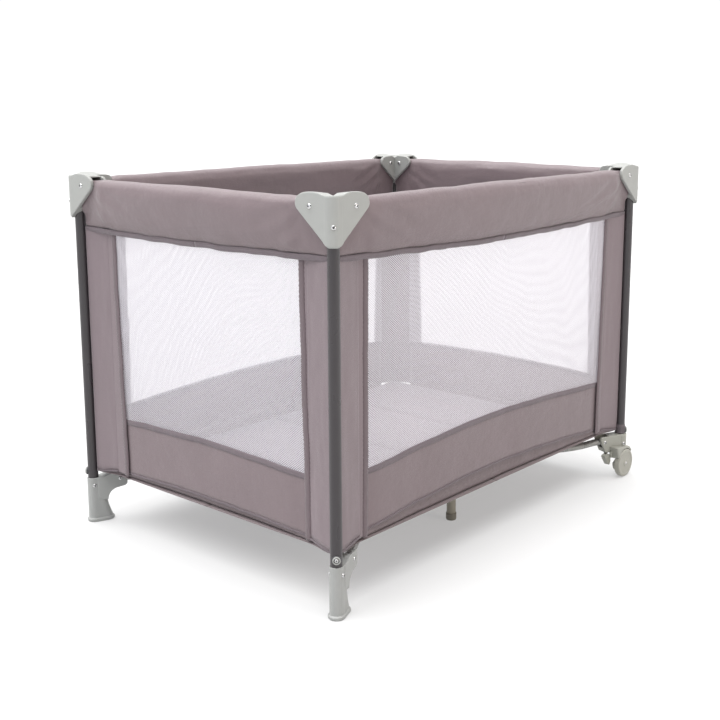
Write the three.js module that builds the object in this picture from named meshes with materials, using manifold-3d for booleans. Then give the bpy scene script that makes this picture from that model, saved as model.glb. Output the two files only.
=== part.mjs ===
// Folding playpen (travel cot): a steel frame that folds in to a square bundle, with fabric sides,
// a padded floor, two plastic feet and two wheels. Millimetres, +Z up, X along the long side, Y along
// the short side, origin on the floor at the centre of the pen. "front" is -Y, "rear" is +Y, "left" is
// the end with the plain feet (-X) and "right" is the end with the wheels (+X).
import * as THREE from 'three';
import { mergeVertices } from 'three/addons/utils/BufferGeometryUtils.js';
import Module from 'manifold-3d';

const wasm = await Module();
wasm.setup();

// Frame.
const POST_X = 505;                 // post axis from the centre, along X
const POST_Y = 361;                 // post axis from the centre, along Y
const HEIGHT = 757;                 // floor to the top of the corner caps
const POST_R = 11;
const POST_WALL = 1.5;
const POST_TOP_Z = 744;
const RAIL_Z = 732;                 // pivot height of the top rails
const RAIL_R = 10;
const TUBE_WALL = 1.5;
const TUBE_END = 10;                // how far a tube runs past its pivot
const CAP_PIVOT = 36;               // rail pivot from the post axis, in every corner cap
const LATCH_PIVOT = 36;             // rail pivot from the middle of every latch
const RAIL_LONG = POST_X - CAP_PIVOT - LATCH_PIVOT;
const RAIL_SHORT = POST_Y - CAP_PIVOT - LATCH_PIVOT;

// Base arms. They lie along the direction in which both rail lengths shrink alike. The ears of the
// feet point a little more along the long sides than the arms do.
const ARM_ANGLE = Math.atan2(RAIL_SHORT, RAIL_LONG);
const ARM_LENGTH = Math.hypot(RAIL_LONG, RAIL_SHORT);
const ARM_R = 8;
const ARM_PIVOT_Z = 91;
const ARM_TUBE_Z = 80;
const ARM_END = 8;                  // how far an arm runs past its pivots
const FOOT_ANGLE = THREE.MathUtils.degToRad(22);
const FOOT_PIVOT = 55;              // arm pivot from the post axis
const HUB_PIVOT_X = CAP_PIVOT + LATCH_PIVOT - FOOT_PIVOT * Math.cos(FOOT_ANGLE);
const HUB_PIVOT_Y = CAP_PIVOT + LATCH_PIVOT - FOOT_PIVOT * Math.sin(FOOT_ANGLE);
const SLOT_HALF = 9;                // half width of the slots that tubes swing in

// Hub.
const HUB_BOTTOM_Z = 68;
const HUB_TOP_Z = 105.2;
const HUB_ROOF_Z = 103.8;           // top of the slots, under a thin plate

// Corner caps.
const CAP_HALF = 20;
const CAP_WALL = 7;
const CAP_TIP_Z = 664;
const CAP_VALLEY_Z = 752;
const CAP_REACH = 71;
const CAP_ROOF_Z = 749;
const CAP_FLANK_Z = 668.3;          // where the sloping flank meets the post axis
const CAP_FLANK_SLOPE = 0.857;
const CAP_LEAN = 5.5;               // how much lower a lobe's top is at its inner face
const CLEFT_Z = 749.5;              // bottom of the cleft between the lobes, over the post axis

// Feet.
const FOOT_HALF = 13;
const FOOT_TOP_Z = 98.5;
const FOOT_SOCKET_Z = 14;
const EAR_TOP_Z = 104.6;
const EAR_END = 71;
const EAR_HALF = 14;
const SLOT_FLOOR_Z = 77;
const BRACKET_BOTTOM_Z = 61;
const BRACKET_SOCKET_Z = 74;

// Wheels, one below each right-hand post, on an axle along Y.
const WHEEL_R = 34;
const WHEEL_WIDTH = 14;
const WHEEL_X = -5;                 // axle from the post axis
const WHEEL_FACE = -22;             // outer face of a wheel from the post axis
const WEB_FACE = WHEEL_FACE + WHEEL_WIDTH + 1;
const WEB_WIDTH = 9;
const WEB_R = 23;
const AXLE_R = 4;
const AXLE_INSET = 4.4;             // how far the axle's tip stays behind the wheel's outer face
const HOOD_CLEAR_R = 35.6;
const HOOD_TOP_Z = 75.5;
const BRAKE_X = -43;                // brake pivot from the post axis
const BRAKE_Z = 58;
const BRAKE_Y = 6;                  // middle of the pedal from the post axis
const BRAKE_HALF = 6;
const LUG_HALF = 1.8;

// Centre legs.
const LEG_PIVOT_Y = 80;
const LEG_Y = 231;
const LEG_R = 10;
const LEG_ARM_Z = 84;
const LEG_END = 10;                 // how far a leg's arm runs past its pivot

// Soft parts.
const SLEEVE_HALF = 20;
const SLEEVE_BOTTOM_Z = 638;
const SLEEVE_TOP_Z = 751;
const SLEEVE_WALL = 3.2;
const CLOTH = 2.4;
const WALL_INSET = 13;              // cloth walls run just inside the posts
const WALL_BOTTOM_Z = 114;
const WALL_TOP_Z = 636;
const FLOOR_Z = 105.4;
const FLOOR_CLOTH = 2;
const MATTRESS_LENGTH = 950;
const MATTRESS_WIDTH = 660;
const MATTRESS_BOTTOM_Z = 109.4;
const MATTRESS_TOP_Z = 128;
const MATTRESS_PANELS = 4;

const material = (color, roughness, metalness = 0) =>
  new THREE.MeshStandardMaterial({ color, roughness, metalness });

const LOOK = {
  post: material(0x565156, 0.35, 0.6),
  tube: material(0x8c8a86, 0.35, 0.7),
  cap: material(0xbbbeb9, 0.4),
  foot: material(0x989898, 0.45),
  wheel: material(0xb0ada5, 0.45),
  leg: material(0x86806f, 0.5),
  latch: material(0x4b484b, 0.5),
  button: material(0x9a9a9a, 0.5),
  sleeve: material(0x8c7f87, 0.6),
  wall: material(0x948a92, 0.7),
  floor: material(0x6f666b, 0.8),
  mattress: material(0x9d9298, 0.8),
  strap: material(0x3a373a, 0.8),
};

const UP = new THREE.Vector3(0, 0, 1);
const BAR_SIDES = 14;
const FIT = 0.3;                    // clearance between two parts that fit together

// ---------- solids ----------

function toSolid(geometry) {
  const bare = geometry.clone();
  bare.deleteAttribute('normal');
  bare.deleteAttribute('uv');
  const merged = mergeVertices(bare, 1e-3);
  return new wasm.Manifold(new wasm.Mesh({
    numProp: 3,
    vertProperties: new Float32Array(merged.attributes.position.array),
    triVerts: new Uint32Array(merged.index.array),
  }));
}

function toGeometry(solid) {
  const mesh = solid.getMesh();
  const geometry = new THREE.BufferGeometry();
  geometry.setAttribute('position', new THREE.BufferAttribute(new Float32Array(mesh.vertProperties), 3));
  geometry.setIndex(new THREE.BufferAttribute(new Uint32Array(mesh.triVerts), 1));
  geometry.computeVertexNormals();
  return geometry;
}

const join = (...geometries) => geometries.map(toSolid).reduce((a, b) => a.add(b));
const cut = (solid, ...geometries) => geometries.map(toSolid).reduce((a, b) => a.subtract(b), solid);

// An outline in X and Z, as a plate across Y from -half to half.
function plate(shape, half, bevel = 0, curveSegments = 8, bevelSegments = 2) {
  const geometry = new THREE.ExtrudeGeometry(shape, {
    depth: 2 * (half - bevel),
    curveSegments,
    bevelEnabled: bevel > 0,
    bevelThickness: bevel,
    bevelSize: bevel,
    bevelOffset: -bevel,
    bevelSegments,
  });
  geometry.translate(0, 0, -(half - bevel));
  geometry.rotateX(Math.PI / 2);
  return geometry;
}

// A plan outline in X and Y, raised from z0 to z1.
function slab(shape, z0, z1, curveSegments = 3) {
  const geometry = new THREE.ExtrudeGeometry(shape, { depth: z1 - z0, curveSegments, bevelEnabled: false });
  geometry.translate(0, 0, z0);
  return geometry;
}

function box(x0, x1, y0, y1, z0, z1) {
  const geometry = new THREE.BoxGeometry(x1 - x0, y1 - y0, z1 - z0);
  geometry.translate((x0 + x1) / 2, (y0 + y1) / 2, (z0 + z1) / 2);
  return geometry;
}

function upright(radius, z0, z1, segments = 24) {
  const geometry = new THREE.CylinderGeometry(radius, radius, z1 - z0, segments);
  geometry.rotateX(Math.PI / 2);
  geometry.translate(0, 0, (z0 + z1) / 2);
  return geometry;
}

// A cylinder along Y.
function across(radius, x, z, y0, y1, segments = 24) {
  const geometry = new THREE.CylinderGeometry(radius, radius, y1 - y0, segments);
  geometry.translate(x, (y0 + y1) / 2, z);
  return geometry;
}

function outline(points) {
  return new THREE.Shape(points.map(([x, y]) => new THREE.Vector2(x, y)));
}

function roundedRectangle(x0, x1, y0, y1, radius) {
  const shape = new THREE.Shape();
  shape.moveTo(x0 + radius, y0);
  shape.lineTo(x1 - radius, y0);
  shape.absarc(x1 - radius, y0 + radius, radius, -Math.PI / 2, 0, false);
  shape.lineTo(x1, y1 - radius);
  shape.absarc(x1 - radius, y1 - radius, radius, 0, Math.PI / 2, false);
  shape.lineTo(x0 + radius, y1);
  shape.absarc(x0 + radius, y1 - radius, radius, Math.PI / 2, Math.PI, false);
  shape.lineTo(x0, y0 + radius);
  shape.absarc(x0 + radius, y0 + radius, radius, Math.PI, 1.5 * Math.PI, false);
  return shape;
}

// A ring-section solid of revolution about Z from [radius, z] corners.
function turned(corners, segments = 32) {
  const profile = corners.map(([r, z]) => new THREE.Vector2(r, z));
  const geometry = new THREE.LatheGeometry(profile, segments);
  geometry.rotateX(Math.PI / 2);
  return geometry;
}

function pipe(radius, wall, length, segments = 20) {
  const inner = radius - wall;
  return turned([[inner, 0], [radius, 0], [radius, length], [inner, length], [inner, 0]], segments);
}

// A round bar along a smooth path.
function bar(points, radius, steps) {
  const path = new THREE.CatmullRomCurve3(points.map((p) => new THREE.Vector3(...p)));
  const section = new THREE.Shape().absarc(0, 0, radius, 0, 2 * Math.PI, false);
  return new THREE.ExtrudeGeometry(section, {
    steps,
    curveSegments: BAR_SIDES / 2,
    bevelEnabled: false,
    extrudePath: path,
  });
}

// The same piece for the rear corner: a mirror image across the plane y = 0.
function mirrored(geometry) {
  const copy = mergeVertices(geometry.clone(), 1e-5);
  copy.scale(1, -1, 1);
  const index = copy.index.array;
  for (let i = 0; i < index.length; i += 3) {
    [index[i], index[i + 1]] = [index[i + 1], index[i]];
  }
  copy.computeVertexNormals();
  return copy;
}

// ---------- pieces ----------

// Lowers the top of a plate little by little from its -Y face to its +Y face.
function leaned(geometry) {
  const rise = HEIGHT - CAP_ROOF_Z;
  const position = geometry.attributes.position;
  for (let i = 0; i < position.count; i += 1) {
    const above = position.getZ(i) - CAP_ROOF_Z;
    const share = (position.getY(i) + CAP_HALF) / (2 * CAP_HALF);
    if (above > 0) {
      position.setZ(i, CAP_ROOF_Z + above * (1 - (CAP_LEAN / rise) * share));
    }
  }
  return geometry;
}

// Everything below a slope that runs up along +X.
function belowFlank(reach, half) {
  const drop = CAP_FLANK_SLOPE * reach;
  const low = CAP_TIP_Z - 2 * reach;
  return plate(outline([
    [-reach, low], [-reach, CAP_FLANK_Z - drop], [reach, CAP_FLANK_Z + drop], [reach, low],
  ]), half);
}

// The cleft between two lobes: a groove along the diagonal that falls towards the inside.
function cleft() {
  const groove = plate(outline([[0, 0], [40, 30], [-40, 30]]), 45);
  groove.rotateX(THREE.MathUtils.degToRad(-7));
  return groove.rotateZ(-Math.PI / 4).translate(0, 0, CLEFT_Z);
}

// Corner cap, with its post axis at the origin and its two lobes along +X and +Y.
function capGeometry() {
  const lobe = new THREE.Shape();
  lobe.moveTo(0, CAP_FLANK_Z);
  lobe.lineTo(0, CAP_VALLEY_Z);
  lobe.bezierCurveTo(9, CAP_VALLEY_Z, 12, HEIGHT, 27, HEIGHT);
  lobe.bezierCurveTo(54, HEIGHT, CAP_REACH, 751, CAP_REACH, 736);
  lobe.quadraticCurveTo(CAP_REACH, 729.5, 65, 724);
  const wing = leaned(plate(lobe, CAP_HALF, 2.5, 6));
  const otherWing = mirrored(leaned(plate(lobe, CAP_HALF, 2.5, 6))).rotateZ(Math.PI / 2);
  const column = turned([
    [0, CAP_TIP_Z], [17, CAP_TIP_Z], [CAP_HALF, CAP_TIP_Z + 4],
    [CAP_HALF, CAP_VALLEY_Z - 3], [19, CAP_VALLEY_Z - 0.8], [16.5, CAP_VALLEY_Z], [0, CAP_VALLEY_Z],
  ]);
  const hollow = outline([
    [19.5, 600], [90, 600], [90, 770], [58, 770], [58, CAP_ROOF_Z], [19.5, CAP_ROOF_Z],
  ]);
  const pocket = plate(hollow, CAP_HALF - CAP_WALL);
  const otherPocket = pocket.clone().rotateZ(Math.PI / 2);
  const flank = belowFlank(1.5 * CAP_HALF, 2 * CAP_HALF);
  const otherFlank = flank.clone().rotateZ(Math.PI / 2);
  const socket = upright(POST_R + FIT, CAP_TIP_Z - CAP_REACH, POST_TOP_Z + 0.5);
  const whole = join(wing, otherWing, column);
  return toGeometry(cut(whole, cleft(), flank, otherFlank, pocket, otherPocket, socket));
}

// One oblong ring of the foot's column: a half circle round the post and another at inner.
function oblong(radius, inner, z, perEnd = 9) {
  const ring = [];
  for (let i = 0; i <= perEnd; i += 1) {
    const a = Math.PI / 2 + (Math.PI * i) / perEnd;
    ring.push(new THREE.Vector3(radius * Math.cos(a), radius * Math.sin(a), z));
  }
  for (let i = 0; i <= perEnd; i += 1) {
    const a = -Math.PI / 2 + (Math.PI * i) / perEnd;
    ring.push(new THREE.Vector3(inner - radius + radius * Math.cos(a), radius * Math.sin(a), z));
  }
  return ring;
}

// A closed skin through rings that all have the same number of points.
function lofted(rings) {
  const count = rings[0].length;
  const corners = rings.flat();
  const faces = [];
  for (let r = 0; r < rings.length - 1; r += 1) {
    for (let i = 0; i < count; i += 1) {
      const a = r * count + i;
      const b = r * count + ((i + 1) % count);
      faces.push(a, b, b + count, a, b + count, a + count);
    }
  }
  const last = (rings.length - 1) * count;
  for (let i = 1; i < count - 1; i += 1) {
    faces.push(0, i + 1, i);
    faces.push(last, last + i, last + i + 1);
  }
  const geometry = new THREE.BufferGeometry().setFromPoints(corners);
  geometry.setIndex(faces);
  return geometry;
}

// The slot that an arm's end swings in, for an ear along +X. It lies along the arm, at turn from the ear.
function armSlot(turn) {
  const slot = box(-ARM_END - 5, EAR_END, -SLOT_HALF, SLOT_HALF, SLOT_FLOOR_Z, 2 * SLOT_FLOOR_Z);
  return slot.rotateZ(turn).translate(FOOT_PIVOT, 0, 0);
}

// Plain foot for the front, with its post axis at the origin and its ear along +X.
function bootGeometry() {
  const column = lofted([
    oblong(14.5, 40, 0), oblong(16, 42, 2), oblong(16, 42, 6), oblong(FOOT_HALF, 39, 8.5),
    oblong(FOOT_HALF, 35.5, 18), oblong(FOOT_HALF, 31, 32), oblong(FOOT_HALF, 28, 46),
    oblong(FOOT_HALF, 28, FOOT_TOP_Z - 1), oblong(FOOT_HALF - 1, 27, FOOT_TOP_Z),
  ]);
  const earShape = new THREE.Shape();
  earShape.moveTo(6, 50);
  earShape.lineTo(27.6, 46);
  earShape.bezierCurveTo(28.5, 58, 34, 67, 47, 70);
  earShape.lineTo(62, 72);
  earShape.quadraticCurveTo(EAR_END, 73, EAR_END, 81);
  earShape.lineTo(EAR_END, EAR_TOP_Z - 6);
  earShape.quadraticCurveTo(EAR_END, EAR_TOP_Z, EAR_END - 6, EAR_TOP_Z);
  earShape.lineTo(38, EAR_TOP_Z);
  earShape.bezierCurveTo(28, EAR_TOP_Z, 24, FOOT_TOP_Z, 14, FOOT_TOP_Z);
  earShape.lineTo(6, FOOT_TOP_Z);
  const ear = plate(earShape, EAR_HALF, 1.5, 6);
  const socket = upright(POST_R + FIT, FOOT_SOCKET_Z, 2 * EAR_TOP_Z);
  return toGeometry(cut(join(column, ear), armSlot(ARM_ANGLE - FOOT_ANGLE), socket));
}

// Wheel bracket for the front right post, with the post axis at the origin. Its ear runs to the
// centre of the pen, its hood hangs over the wheel, and its web holds the axle behind the wheel.
function bracketGeometry() {
  const turn = Math.PI - FOOT_ANGLE;
  const earBottom = BRACKET_BOTTOM_Z + 3.5;
  const earShape = new THREE.Shape();
  earShape.moveTo(-2, earBottom);
  earShape.lineTo(50, earBottom);
  earShape.quadraticCurveTo(53, earBottom, 54, earBottom + 3);
  earShape.lineTo(67, 96);
  earShape.quadraticCurveTo(68, EAR_TOP_Z, 61, EAR_TOP_Z);
  earShape.lineTo(-2, EAR_TOP_Z);
  const ear = plate(earShape, EAR_HALF, 1.5, 6).rotateZ(turn);
  const column = turned([
    [0, BRACKET_BOTTOM_Z], [14.5, BRACKET_BOTTOM_Z], [16, BRACKET_BOTTOM_Z + 2],
    [16, EAR_TOP_Z - 2], [14.5, EAR_TOP_Z], [0, EAR_TOP_Z],
  ]);

  const hoodShape = new THREE.Shape();
  hoodShape.moveTo(-44, 78);
  hoodShape.lineTo(-38, 55);
  hoodShape.quadraticCurveTo(-37, 49, -31, 49);
  hoodShape.lineTo(20, 52);
  hoodShape.lineTo(28, 59.5);
  hoodShape.bezierCurveTo(22, 68, 12, HOOD_TOP_Z, WHEEL_X, HOOD_TOP_Z);
  const hood = plate(hoodShape, 13, 3.5, 8, 3).translate(0, -7, 0);
  const webShape = new THREE.Shape();
  webShape.moveTo(WHEEL_X - WEB_R - 3, 62);
  webShape.absarc(WHEEL_X, WHEEL_R, WEB_R, Math.PI, 2 * Math.PI, false);
  webShape.lineTo(WHEEL_X + WEB_R, 62);
  const web = plate(webShape, WEB_WIDTH / 2).translate(0, WEB_FACE + WEB_WIDTH / 2, 0);
  const lugShape = outline([[-47.5, 61], [-48, 56], [-44, 52.5], [-39, 54], [-32, 62], [-42, 70]]);
  const lugAt = BRAKE_HALF + LUG_HALF + 0.4;
  const lugFront = plate(lugShape, LUG_HALF).translate(0, BRAKE_Y - lugAt, 0);
  const lugRear = plate(lugShape, LUG_HALF).translate(0, BRAKE_Y + lugAt, 0);

  const wheelRoom = across(HOOD_CLEAR_R, WHEEL_X, WHEEL_R, 2 * WHEEL_FACE, WEB_FACE, 32);
  const axleBore = across(AXLE_R + 0.1, WHEEL_X, WHEEL_R, WEB_FACE - 5, WEB_FACE + WEB_WIDTH + 5);
  const brakeBore = across(2.5, BRAKE_X, BRAKE_Z, -20, 30, 16);
  const socket = upright(POST_R + FIT, BRACKET_SOCKET_Z, 2 * EAR_TOP_Z);
  const slot = armSlot(FOOT_ANGLE - ARM_ANGLE).rotateZ(turn);
  const block = cut(join(ear, column, hood), wheelRoom);
  const whole = [web, lugFront, lugRear].map(toSolid).reduce((a, b) => a.add(b), block);
  return toGeometry(cut(whole, axleBore, brakeBore, slot, socket));
}

// Wheel for the front right, with the post axis at the origin. Its blind bore opens on the inner side.
function wheelGeometry() {
  const bore = AXLE_R + FIT;
  const wheel = turned([
    [0, 0], [8, 0], [9, 1], [WHEEL_R - 8, 1], [WHEEL_R - 6.5, 0], [WHEEL_R - 2.5, 0],
    [WHEEL_R - 0.8, 0.8], [WHEEL_R, 2.5], [WHEEL_R, WHEEL_WIDTH - 2.5],
    [WHEEL_R - 0.8, WHEEL_WIDTH - 0.8], [WHEEL_R - 2.5, WHEEL_WIDTH],
    [bore, WHEEL_WIDTH], [bore, 4], [0, 4],
  ]);
  return wheel.rotateX(-Math.PI / 2).translate(WHEEL_X, WHEEL_FACE, WHEEL_R);
}

// Brake pedal for the front right wheel, with the post axis at the origin.
function brakeGeometry() {
  const pedal = new THREE.Shape();
  pedal.moveTo(-45.5, 61);
  pedal.lineTo(-58, 63);
  pedal.quadraticCurveTo(-69, 63, -67, 58);
  pedal.lineTo(-51, 37);
  pedal.quadraticCurveTo(-48, 34, -44, 36);
  pedal.lineTo(-40.5, 43);
  pedal.lineTo(-41.8, 54.5);
  const body = plate(pedal, BRAKE_HALF, 1.2, 4).translate(0, BRAKE_Y, 0);
  const pinReach = BRAKE_HALF + 2 * LUG_HALF + 0.6;
  const pin = across(2.2, BRAKE_X, BRAKE_Z, BRAKE_Y - pinReach, BRAKE_Y + pinReach, 16);
  return toGeometry(join(body, pin));
}

// Base arm from its foot pivot (origin) to its hub pivot along +X, at its resting height.
function armGeometry() {
  const points = [
    [-ARM_END, 0, ARM_PIVOT_Z], [16, 0, ARM_PIVOT_Z - 1.5], [60, 0, ARM_TUBE_Z + 2.5],
    [120, 0, ARM_TUBE_Z], [300, 0, ARM_TUBE_Z], [460, 0, ARM_TUBE_Z],
    [ARM_LENGTH - 28, 0, ARM_TUBE_Z + 3], [ARM_LENGTH, 0, ARM_PIVOT_Z - 0.5],
    [ARM_LENGTH + ARM_END, 0, ARM_PIVOT_Z + 1],
  ];
  return bar(points, ARM_R, 19);
}

function hubGeometry() {
  const block = slab(roundedRectangle(-44, 44, -66, 66, 14), HUB_BOTTOM_Z, HUB_TOP_Z);
  const nose = slab(roundedRectangle(-22, 22, -93, 93, 8), HUB_BOTTOM_Z + 3, HUB_TOP_Z);
  const low = HUB_BOTTOM_Z - 10;
  const slots = [];
  for (const sx of [-1, 1]) {
    for (const sy of [-1, 1]) {
      const slot = box(-17, 60, -SLOT_HALF, SLOT_HALF, low, HUB_ROOF_Z);
      slot.rotateZ(Math.atan2(sy * Math.sin(ARM_ANGLE), sx * Math.cos(ARM_ANGLE)));
      slot.translate(sx * HUB_PIVOT_X, sy * HUB_PIVOT_Y, 0);
      slots.push(slot);
    }
  }
  for (const pivot of [-LEG_PIVOT_Y, LEG_PIVOT_Y]) {
    slots.push(box(-SLOT_HALF, SLOT_HALF, pivot - 14, pivot + 14, low, HUB_ROOF_Z));
  }
  return toGeometry(cut(join(block, nose), ...slots));
}

// Centre leg for the front: an arm from the hub along -Y, and an upright tube at its end.
function legGeometry() {
  const arm = bar([
    [0, -LEG_PIVOT_Y + LEG_END, LEG_ARM_Z], [0, -150, LEG_ARM_Z], [0, -LEG_Y, LEG_ARM_Z],
  ], ARM_R, 3);
  const tube = turned([
    [0, 4.3], [LEG_R - 1, 4.3], [LEG_R, 5.3], [LEG_R, LEG_ARM_Z + 8], [LEG_R - 3, LEG_ARM_Z + 11],
    [0, LEG_ARM_Z + 11],
  ], 24);
  return toGeometry(join(arm, tube.translate(0, -LEG_Y, 0)));
}

function legFootGeometry() {
  const inner = LEG_R + FIT;
  const outer = LEG_R + 1.5;
  return turned([
    [0, 0], [8, 0], [10.5, 1.2], [outer, 4], [outer, 16], [inner, 16], [inner, 4], [0, 4],
  ], 24);
}

// Latch channel under the middle of a top rail, along X, with the rail pivots at z = 0.
function latchGeometry() {
  const channel = toSolid(slab(roundedRectangle(-50, 50, -15, 15, 5), -18, 9));
  const groove = box(-60, 60, -11.2, 11.2, -15, 20);
  const window = box(-14.4, 14.4, -6.4, 6.4, -30, 0);
  return toGeometry(cut(channel, groove, window));
}

function buttonGeometry() {
  const shank = slab(roundedRectangle(-14, 14, -6, 6, 2), -22, -13);
  const flange = slab(roundedRectangle(-17, 17, -9, 9, 2), -14.6, -11);
  return toGeometry(join(shank, flange));
}

// Fabric sleeve round a top rail: half the distance between caps each way along X.
function sleeveGeometry(halfLength) {
  const section = roundedRectangle(-SLEEVE_HALF, SLEEVE_HALF, SLEEVE_BOTTOM_Z, SLEEVE_TOP_Z, 12);
  const reach = SLEEVE_HALF - SLEEVE_WALL;
  section.holes.push(roundedRectangle(
    -reach, reach, SLEEVE_BOTTOM_Z + SLEEVE_WALL, SLEEVE_TOP_Z - SLEEVE_WALL, 9,
  ));
  return plate(section, halfLength, 0, 3).rotateZ(Math.PI / 2);
}

// ---------- assembly ----------

const playpen = new THREE.Group();

function add(parent, name, geometry, look, position = [0, 0, 0], turn = 0) {
  const mesh = new THREE.Mesh(geometry, look);
  mesh.name = name;
  mesh.position.set(...position);
  mesh.rotateOnAxis(UP, turn);
  parent.add(mesh);
  return mesh;
}

const CORNERS = [
  { name: 'front_left', sx: -1, sy: -1, capTurn: 0 },
  { name: 'front_right', sx: 1, sy: -1, capTurn: Math.PI / 2 },
  { name: 'rear_right', sx: 1, sy: 1, capTurn: Math.PI },
  { name: 'rear_left', sx: -1, sy: 1, capTurn: -Math.PI / 2 },
];

const cap = capGeometry();
const boot = bootGeometry();
const bracket = bracketGeometry();
const wheel = wheelGeometry();
const brake = brakeGeometry();
const arm = armGeometry();
const axle = across(AXLE_R, WHEEL_X, WHEEL_R, WHEEL_FACE + AXLE_INSET, WEB_FACE + WEB_WIDTH + 2.5);
const POST_BOTTOM_LEFT = FOOT_SOCKET_Z + 2;
const POST_BOTTOM_RIGHT = BRACKET_SOCKET_Z + 2;

for (const { name, sx, sy, capTurn } of CORNERS) {
  const corner = new THREE.Group();
  corner.position.set(sx * POST_X, sy * POST_Y, 0);
  playpen.add(corner);
  const toHub = (angle) => Math.atan2(-sy * Math.sin(angle), -sx * Math.cos(angle));
  const side = sy < 0 ? (geometry) => geometry : mirrored;
  const postBottom = sx < 0 ? POST_BOTTOM_LEFT : POST_BOTTOM_RIGHT;
  const post = pipe(POST_R, POST_WALL, POST_TOP_Z - postBottom, 28);
  add(corner, `post_${name}`, post, LOOK.post, [0, 0, postBottom]);
  add(corner, `cap_${name}`, cap, LOOK.cap, [0, 0, 0], capTurn);
  const ear = toHub(FOOT_ANGLE);
  const pivot = [FOOT_PIVOT * Math.cos(ear), FOOT_PIVOT * Math.sin(ear), 0];
  add(corner, `arm_${name}`, arm, LOOK.tube, pivot, toHub(ARM_ANGLE));
  if (sx < 0) {
    add(corner, `boot_${name}`, side(boot), LOOK.foot, [0, 0, 0], ear);
  } else {
    add(corner, `bracket_${name}`, side(bracket), LOOK.foot);
    add(corner, `wheel_${name}`, side(wheel), LOOK.wheel);
    add(corner, `axle_${name}`, side(axle), LOOK.tube);
    add(corner, `brake_${name}`, side(brake), LOOK.foot);
  }
}

add(playpen, 'hub', hubGeometry(), LOOK.latch);
for (const [name, turn] of [['front', 0], ['rear', Math.PI]]) {
  const half = new THREE.Group();
  half.rotation.z = turn;
  playpen.add(half);
  add(half, `leg_${name}`, legGeometry(), LOOK.leg);
  add(half, `leg_foot_${name}`, legFootGeometry(), LOOK.leg, [0, -LEG_Y, 0]);
}

const SIDES = [
  { name: 'front', turn: 0, away: POST_Y, half: POST_X, rail: RAIL_LONG },
  { name: 'right', turn: Math.PI / 2, away: POST_X, half: POST_Y, rail: RAIL_SHORT },
  { name: 'rear', turn: Math.PI, away: POST_Y, half: POST_X, rail: RAIL_LONG },
  { name: 'left', turn: -Math.PI / 2, away: POST_X, half: POST_Y, rail: RAIL_SHORT },
];
const RAIL_LINE = -1;               // in a side's own group, its rail lies on the -Y side
const CAP_GAP = 2.5;

for (const { name, turn, away, half, rail } of SIDES) {
  const side = new THREE.Group();
  side.rotation.z = turn;
  playpen.add(side);
  const y = RAIL_LINE * away;
  const tube = pipe(RAIL_R, TUBE_WALL, rail + 2 * TUBE_END);
  const start = half - CAP_PIVOT + TUBE_END;
  add(side, `rail_${name}_a`, tube.clone().rotateY(Math.PI / 2), LOOK.tube, [-start, y, RAIL_Z]);
  add(side, `rail_${name}_b`, tube.clone().rotateY(-Math.PI / 2), LOOK.tube, [start, y, RAIL_Z]);
  add(side, `latch_${name}`, latchGeometry(), LOOK.latch, [0, y, RAIL_Z]);
  add(side, `button_${name}`, buttonGeometry(), LOOK.button, [0, y, RAIL_Z]);
  add(side, `sleeve_${name}`, sleeveGeometry(half - CAP_REACH - CAP_GAP), LOOK.sleeve, [0, y, 0]);
  const wide = name === 'front' || name === 'rear';
  const reach = half - WALL_INSET + (wide ? 1 : -3);
  const y0 = y + WALL_INSET - CLOTH / 2;
  add(side, `wall_${name}`, box(-reach, reach, y0, y0 + CLOTH, WALL_BOTTOM_Z, WALL_TOP_Z), LOOK.wall);
}

const floorX = POST_X - WALL_INSET - 3;
const floorY = POST_Y - WALL_INSET - 3;
const floorShape = roundedRectangle(-floorX, floorX, -floorY, floorY, 12);
add(playpen, 'floor_fabric', slab(floorShape, FLOOR_Z, FLOOR_Z + FLOOR_CLOTH), LOOK.floor);

const PANEL = MATTRESS_LENGTH / MATTRESS_PANELS;
const CREASE_GAP = 0.8;
const HALF_WIDTH = MATTRESS_WIDTH / 2;
for (let i = 0; i < MATTRESS_PANELS; i += 1) {
  const x0 = -MATTRESS_LENGTH / 2 + i * PANEL + CREASE_GAP / 2;
  const shape = roundedRectangle(x0, x0 + PANEL - CREASE_GAP, -HALF_WIDTH, HALF_WIDTH, 6);
  add(playpen, `mattress_panel_${i + 1}`, slab(shape, MATTRESS_BOTTOM_Z, MATTRESS_TOP_Z), LOOK.mattress);
}
const STRAP_INSET = 10;
const STRAP_HALF = 15;
const STRAP_GAP = 0.4;
const strapX = -MATTRESS_LENGTH / 2 + STRAP_INSET;
add(playpen, 'mattress_strap', box(
  strapX, strapX + PANEL - 2 * STRAP_INSET, -STRAP_HALF, STRAP_HALF,
  FLOOR_Z + FLOOR_CLOTH + STRAP_GAP, MATTRESS_BOTTOM_Z - STRAP_GAP,
), LOOK.strap);

export default playpen;
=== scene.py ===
"""Folding playpen in cloth, netting and plastic, around its CAD frame.

Front is -Y and left is -X, the end with the plain feet. Sizes are in millimetres until they are
multiplied by MM, and metres after that.
"""
import math

import bmesh
import bpy
import numpy as np
from mathutils import Matrix, Vector, noise


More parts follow.
